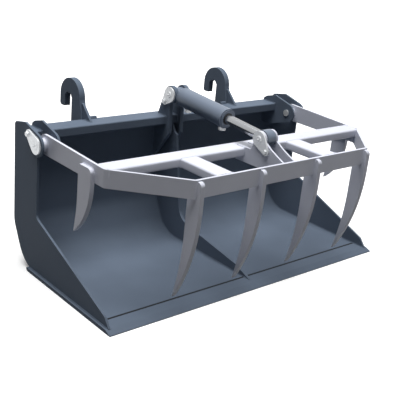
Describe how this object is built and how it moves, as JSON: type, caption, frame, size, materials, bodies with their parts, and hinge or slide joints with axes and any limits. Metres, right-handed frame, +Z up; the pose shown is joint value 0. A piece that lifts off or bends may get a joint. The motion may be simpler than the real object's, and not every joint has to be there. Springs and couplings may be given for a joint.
{
  "type": "grapple bucket",
  "caption": "Wide loader bucket with two hitch hooks, and a hinged grapple frame of curved tines that one hydraulic cylinder over its middle opens and closes.",
  "frame": {"origin": "on the ground, at the middle of the footprint, which is mid-width and half way between the hooks behind and the noses of the tines in front", "axes": "+X to the right across the bucket as seen from the machine's seat, -Y out of the bucket's mouth, +Z up"},
  "size_m": [1.637, 1.102, 0.7969],
  "materials": {
    "bucket_paint": "satin blue-grey paint",
    "frame_paint": "satin light grey paint",
    "zinc": "pale zinc plate",
    "chrome": "hard chrome, ground",
    "bronze": "plain bearing bronze",
    "seal_rubber": "matt black"
  },
  "bodies": {
    "bucket": {"back_and_floor": "bucket_paint", "side_plate_left": "bucket_paint", "side_plate_right": "bucket_paint", "cutting_edge": "bucket_paint", "runner_left": "bucket_paint", "runner_right": "bucket_paint", "skid_left": "bucket_paint", "skid_centre": "bucket_paint", "skid_right": "bucket_paint", "top_beam": "bucket_paint", "inner_ear_left": "bucket_paint", "inner_ear_right": "bucket_paint", "centre_rib": "bucket_paint", "cylinder_cheek_left": "bucket_paint", "cylinder_cheek_right": "bucket_paint", "hook_plate_left": "bucket_paint", "hook_plate_right": "bucket_paint", "hook_gusset_left": "bucket_paint", "hook_gusset_right": "bucket_paint", "hook_pad_left": "bucket_paint", "hook_pad_right": "bucket_paint", "hook_eye_left": "bucket_paint", "hook_eye_right": "bucket_paint", "pivot_pin_left": "zinc", "pivot_pin_right": "zinc", "pivot_bolt_left": "zinc", "pivot_bolt_right": "zinc", "base_pin": "zinc", "base_pin_bolt": "zinc"},
    "grapple": {"arm_left": "frame_paint", "arm_right": "frame_paint", "hub_left": "frame_paint", "hub_right": "frame_paint", "bush_left": "bronze", "bush_right": "bronze", "front_bar": "frame_paint", "cross_tube": "frame_paint", "brace_left": "frame_paint", "brace_right": "frame_paint", "tine_1": "frame_paint", "tine_2": "frame_paint", "tine_3": "frame_paint", "tine_4": "frame_paint", "side_tine_left": "frame_paint", "side_tine_right": "frame_paint", "clevis_left": "frame_paint", "clevis_right": "frame_paint", "rod_pin": "zinc", "rod_pin_bolt": "zinc"},
    "barrel": {"cylinder_tube": "bucket_paint", "cylinder_base": "bucket_paint", "gland": "bucket_paint", "wiper": "seal_rubber", "port_rear": "zinc", "port_front": "zinc"},
    "rod": {"piston": "chrome", "rod": "chrome", "rod_eye": "bucket_paint"}
  },
  "joints": [
    {"name": "grapple_hinge", "type": "hinge", "parent": "bucket", "child": "grapple", "pos_m": [0, 0.172, 0.596], "axis": [-1, 0, 0], "range_deg": [-7, 45]},
    {"name": "barrel_hinge", "type": "hinge", "parent": "bucket", "child": "barrel", "pos_m": [0, 0.245, 0.738], "axis": [-1, 0, 0], "range_deg": [-6.7, 42.1]},
    {"name": "rod_slide", "type": "slide", "parent": "barrel", "child": "rod", "axis": [0, -0.9967, -0.0809], "range_m": [-0.1195, 0.019]}
  ],
  "couplings": [
    {"joint": "barrel_hinge", "follows": "grapple_hinge", "ratio": 0.9311},
    {"joint": "rod_slide", "follows": "grapple_hinge", "m_per_rad": -0.15116}
  ]
}
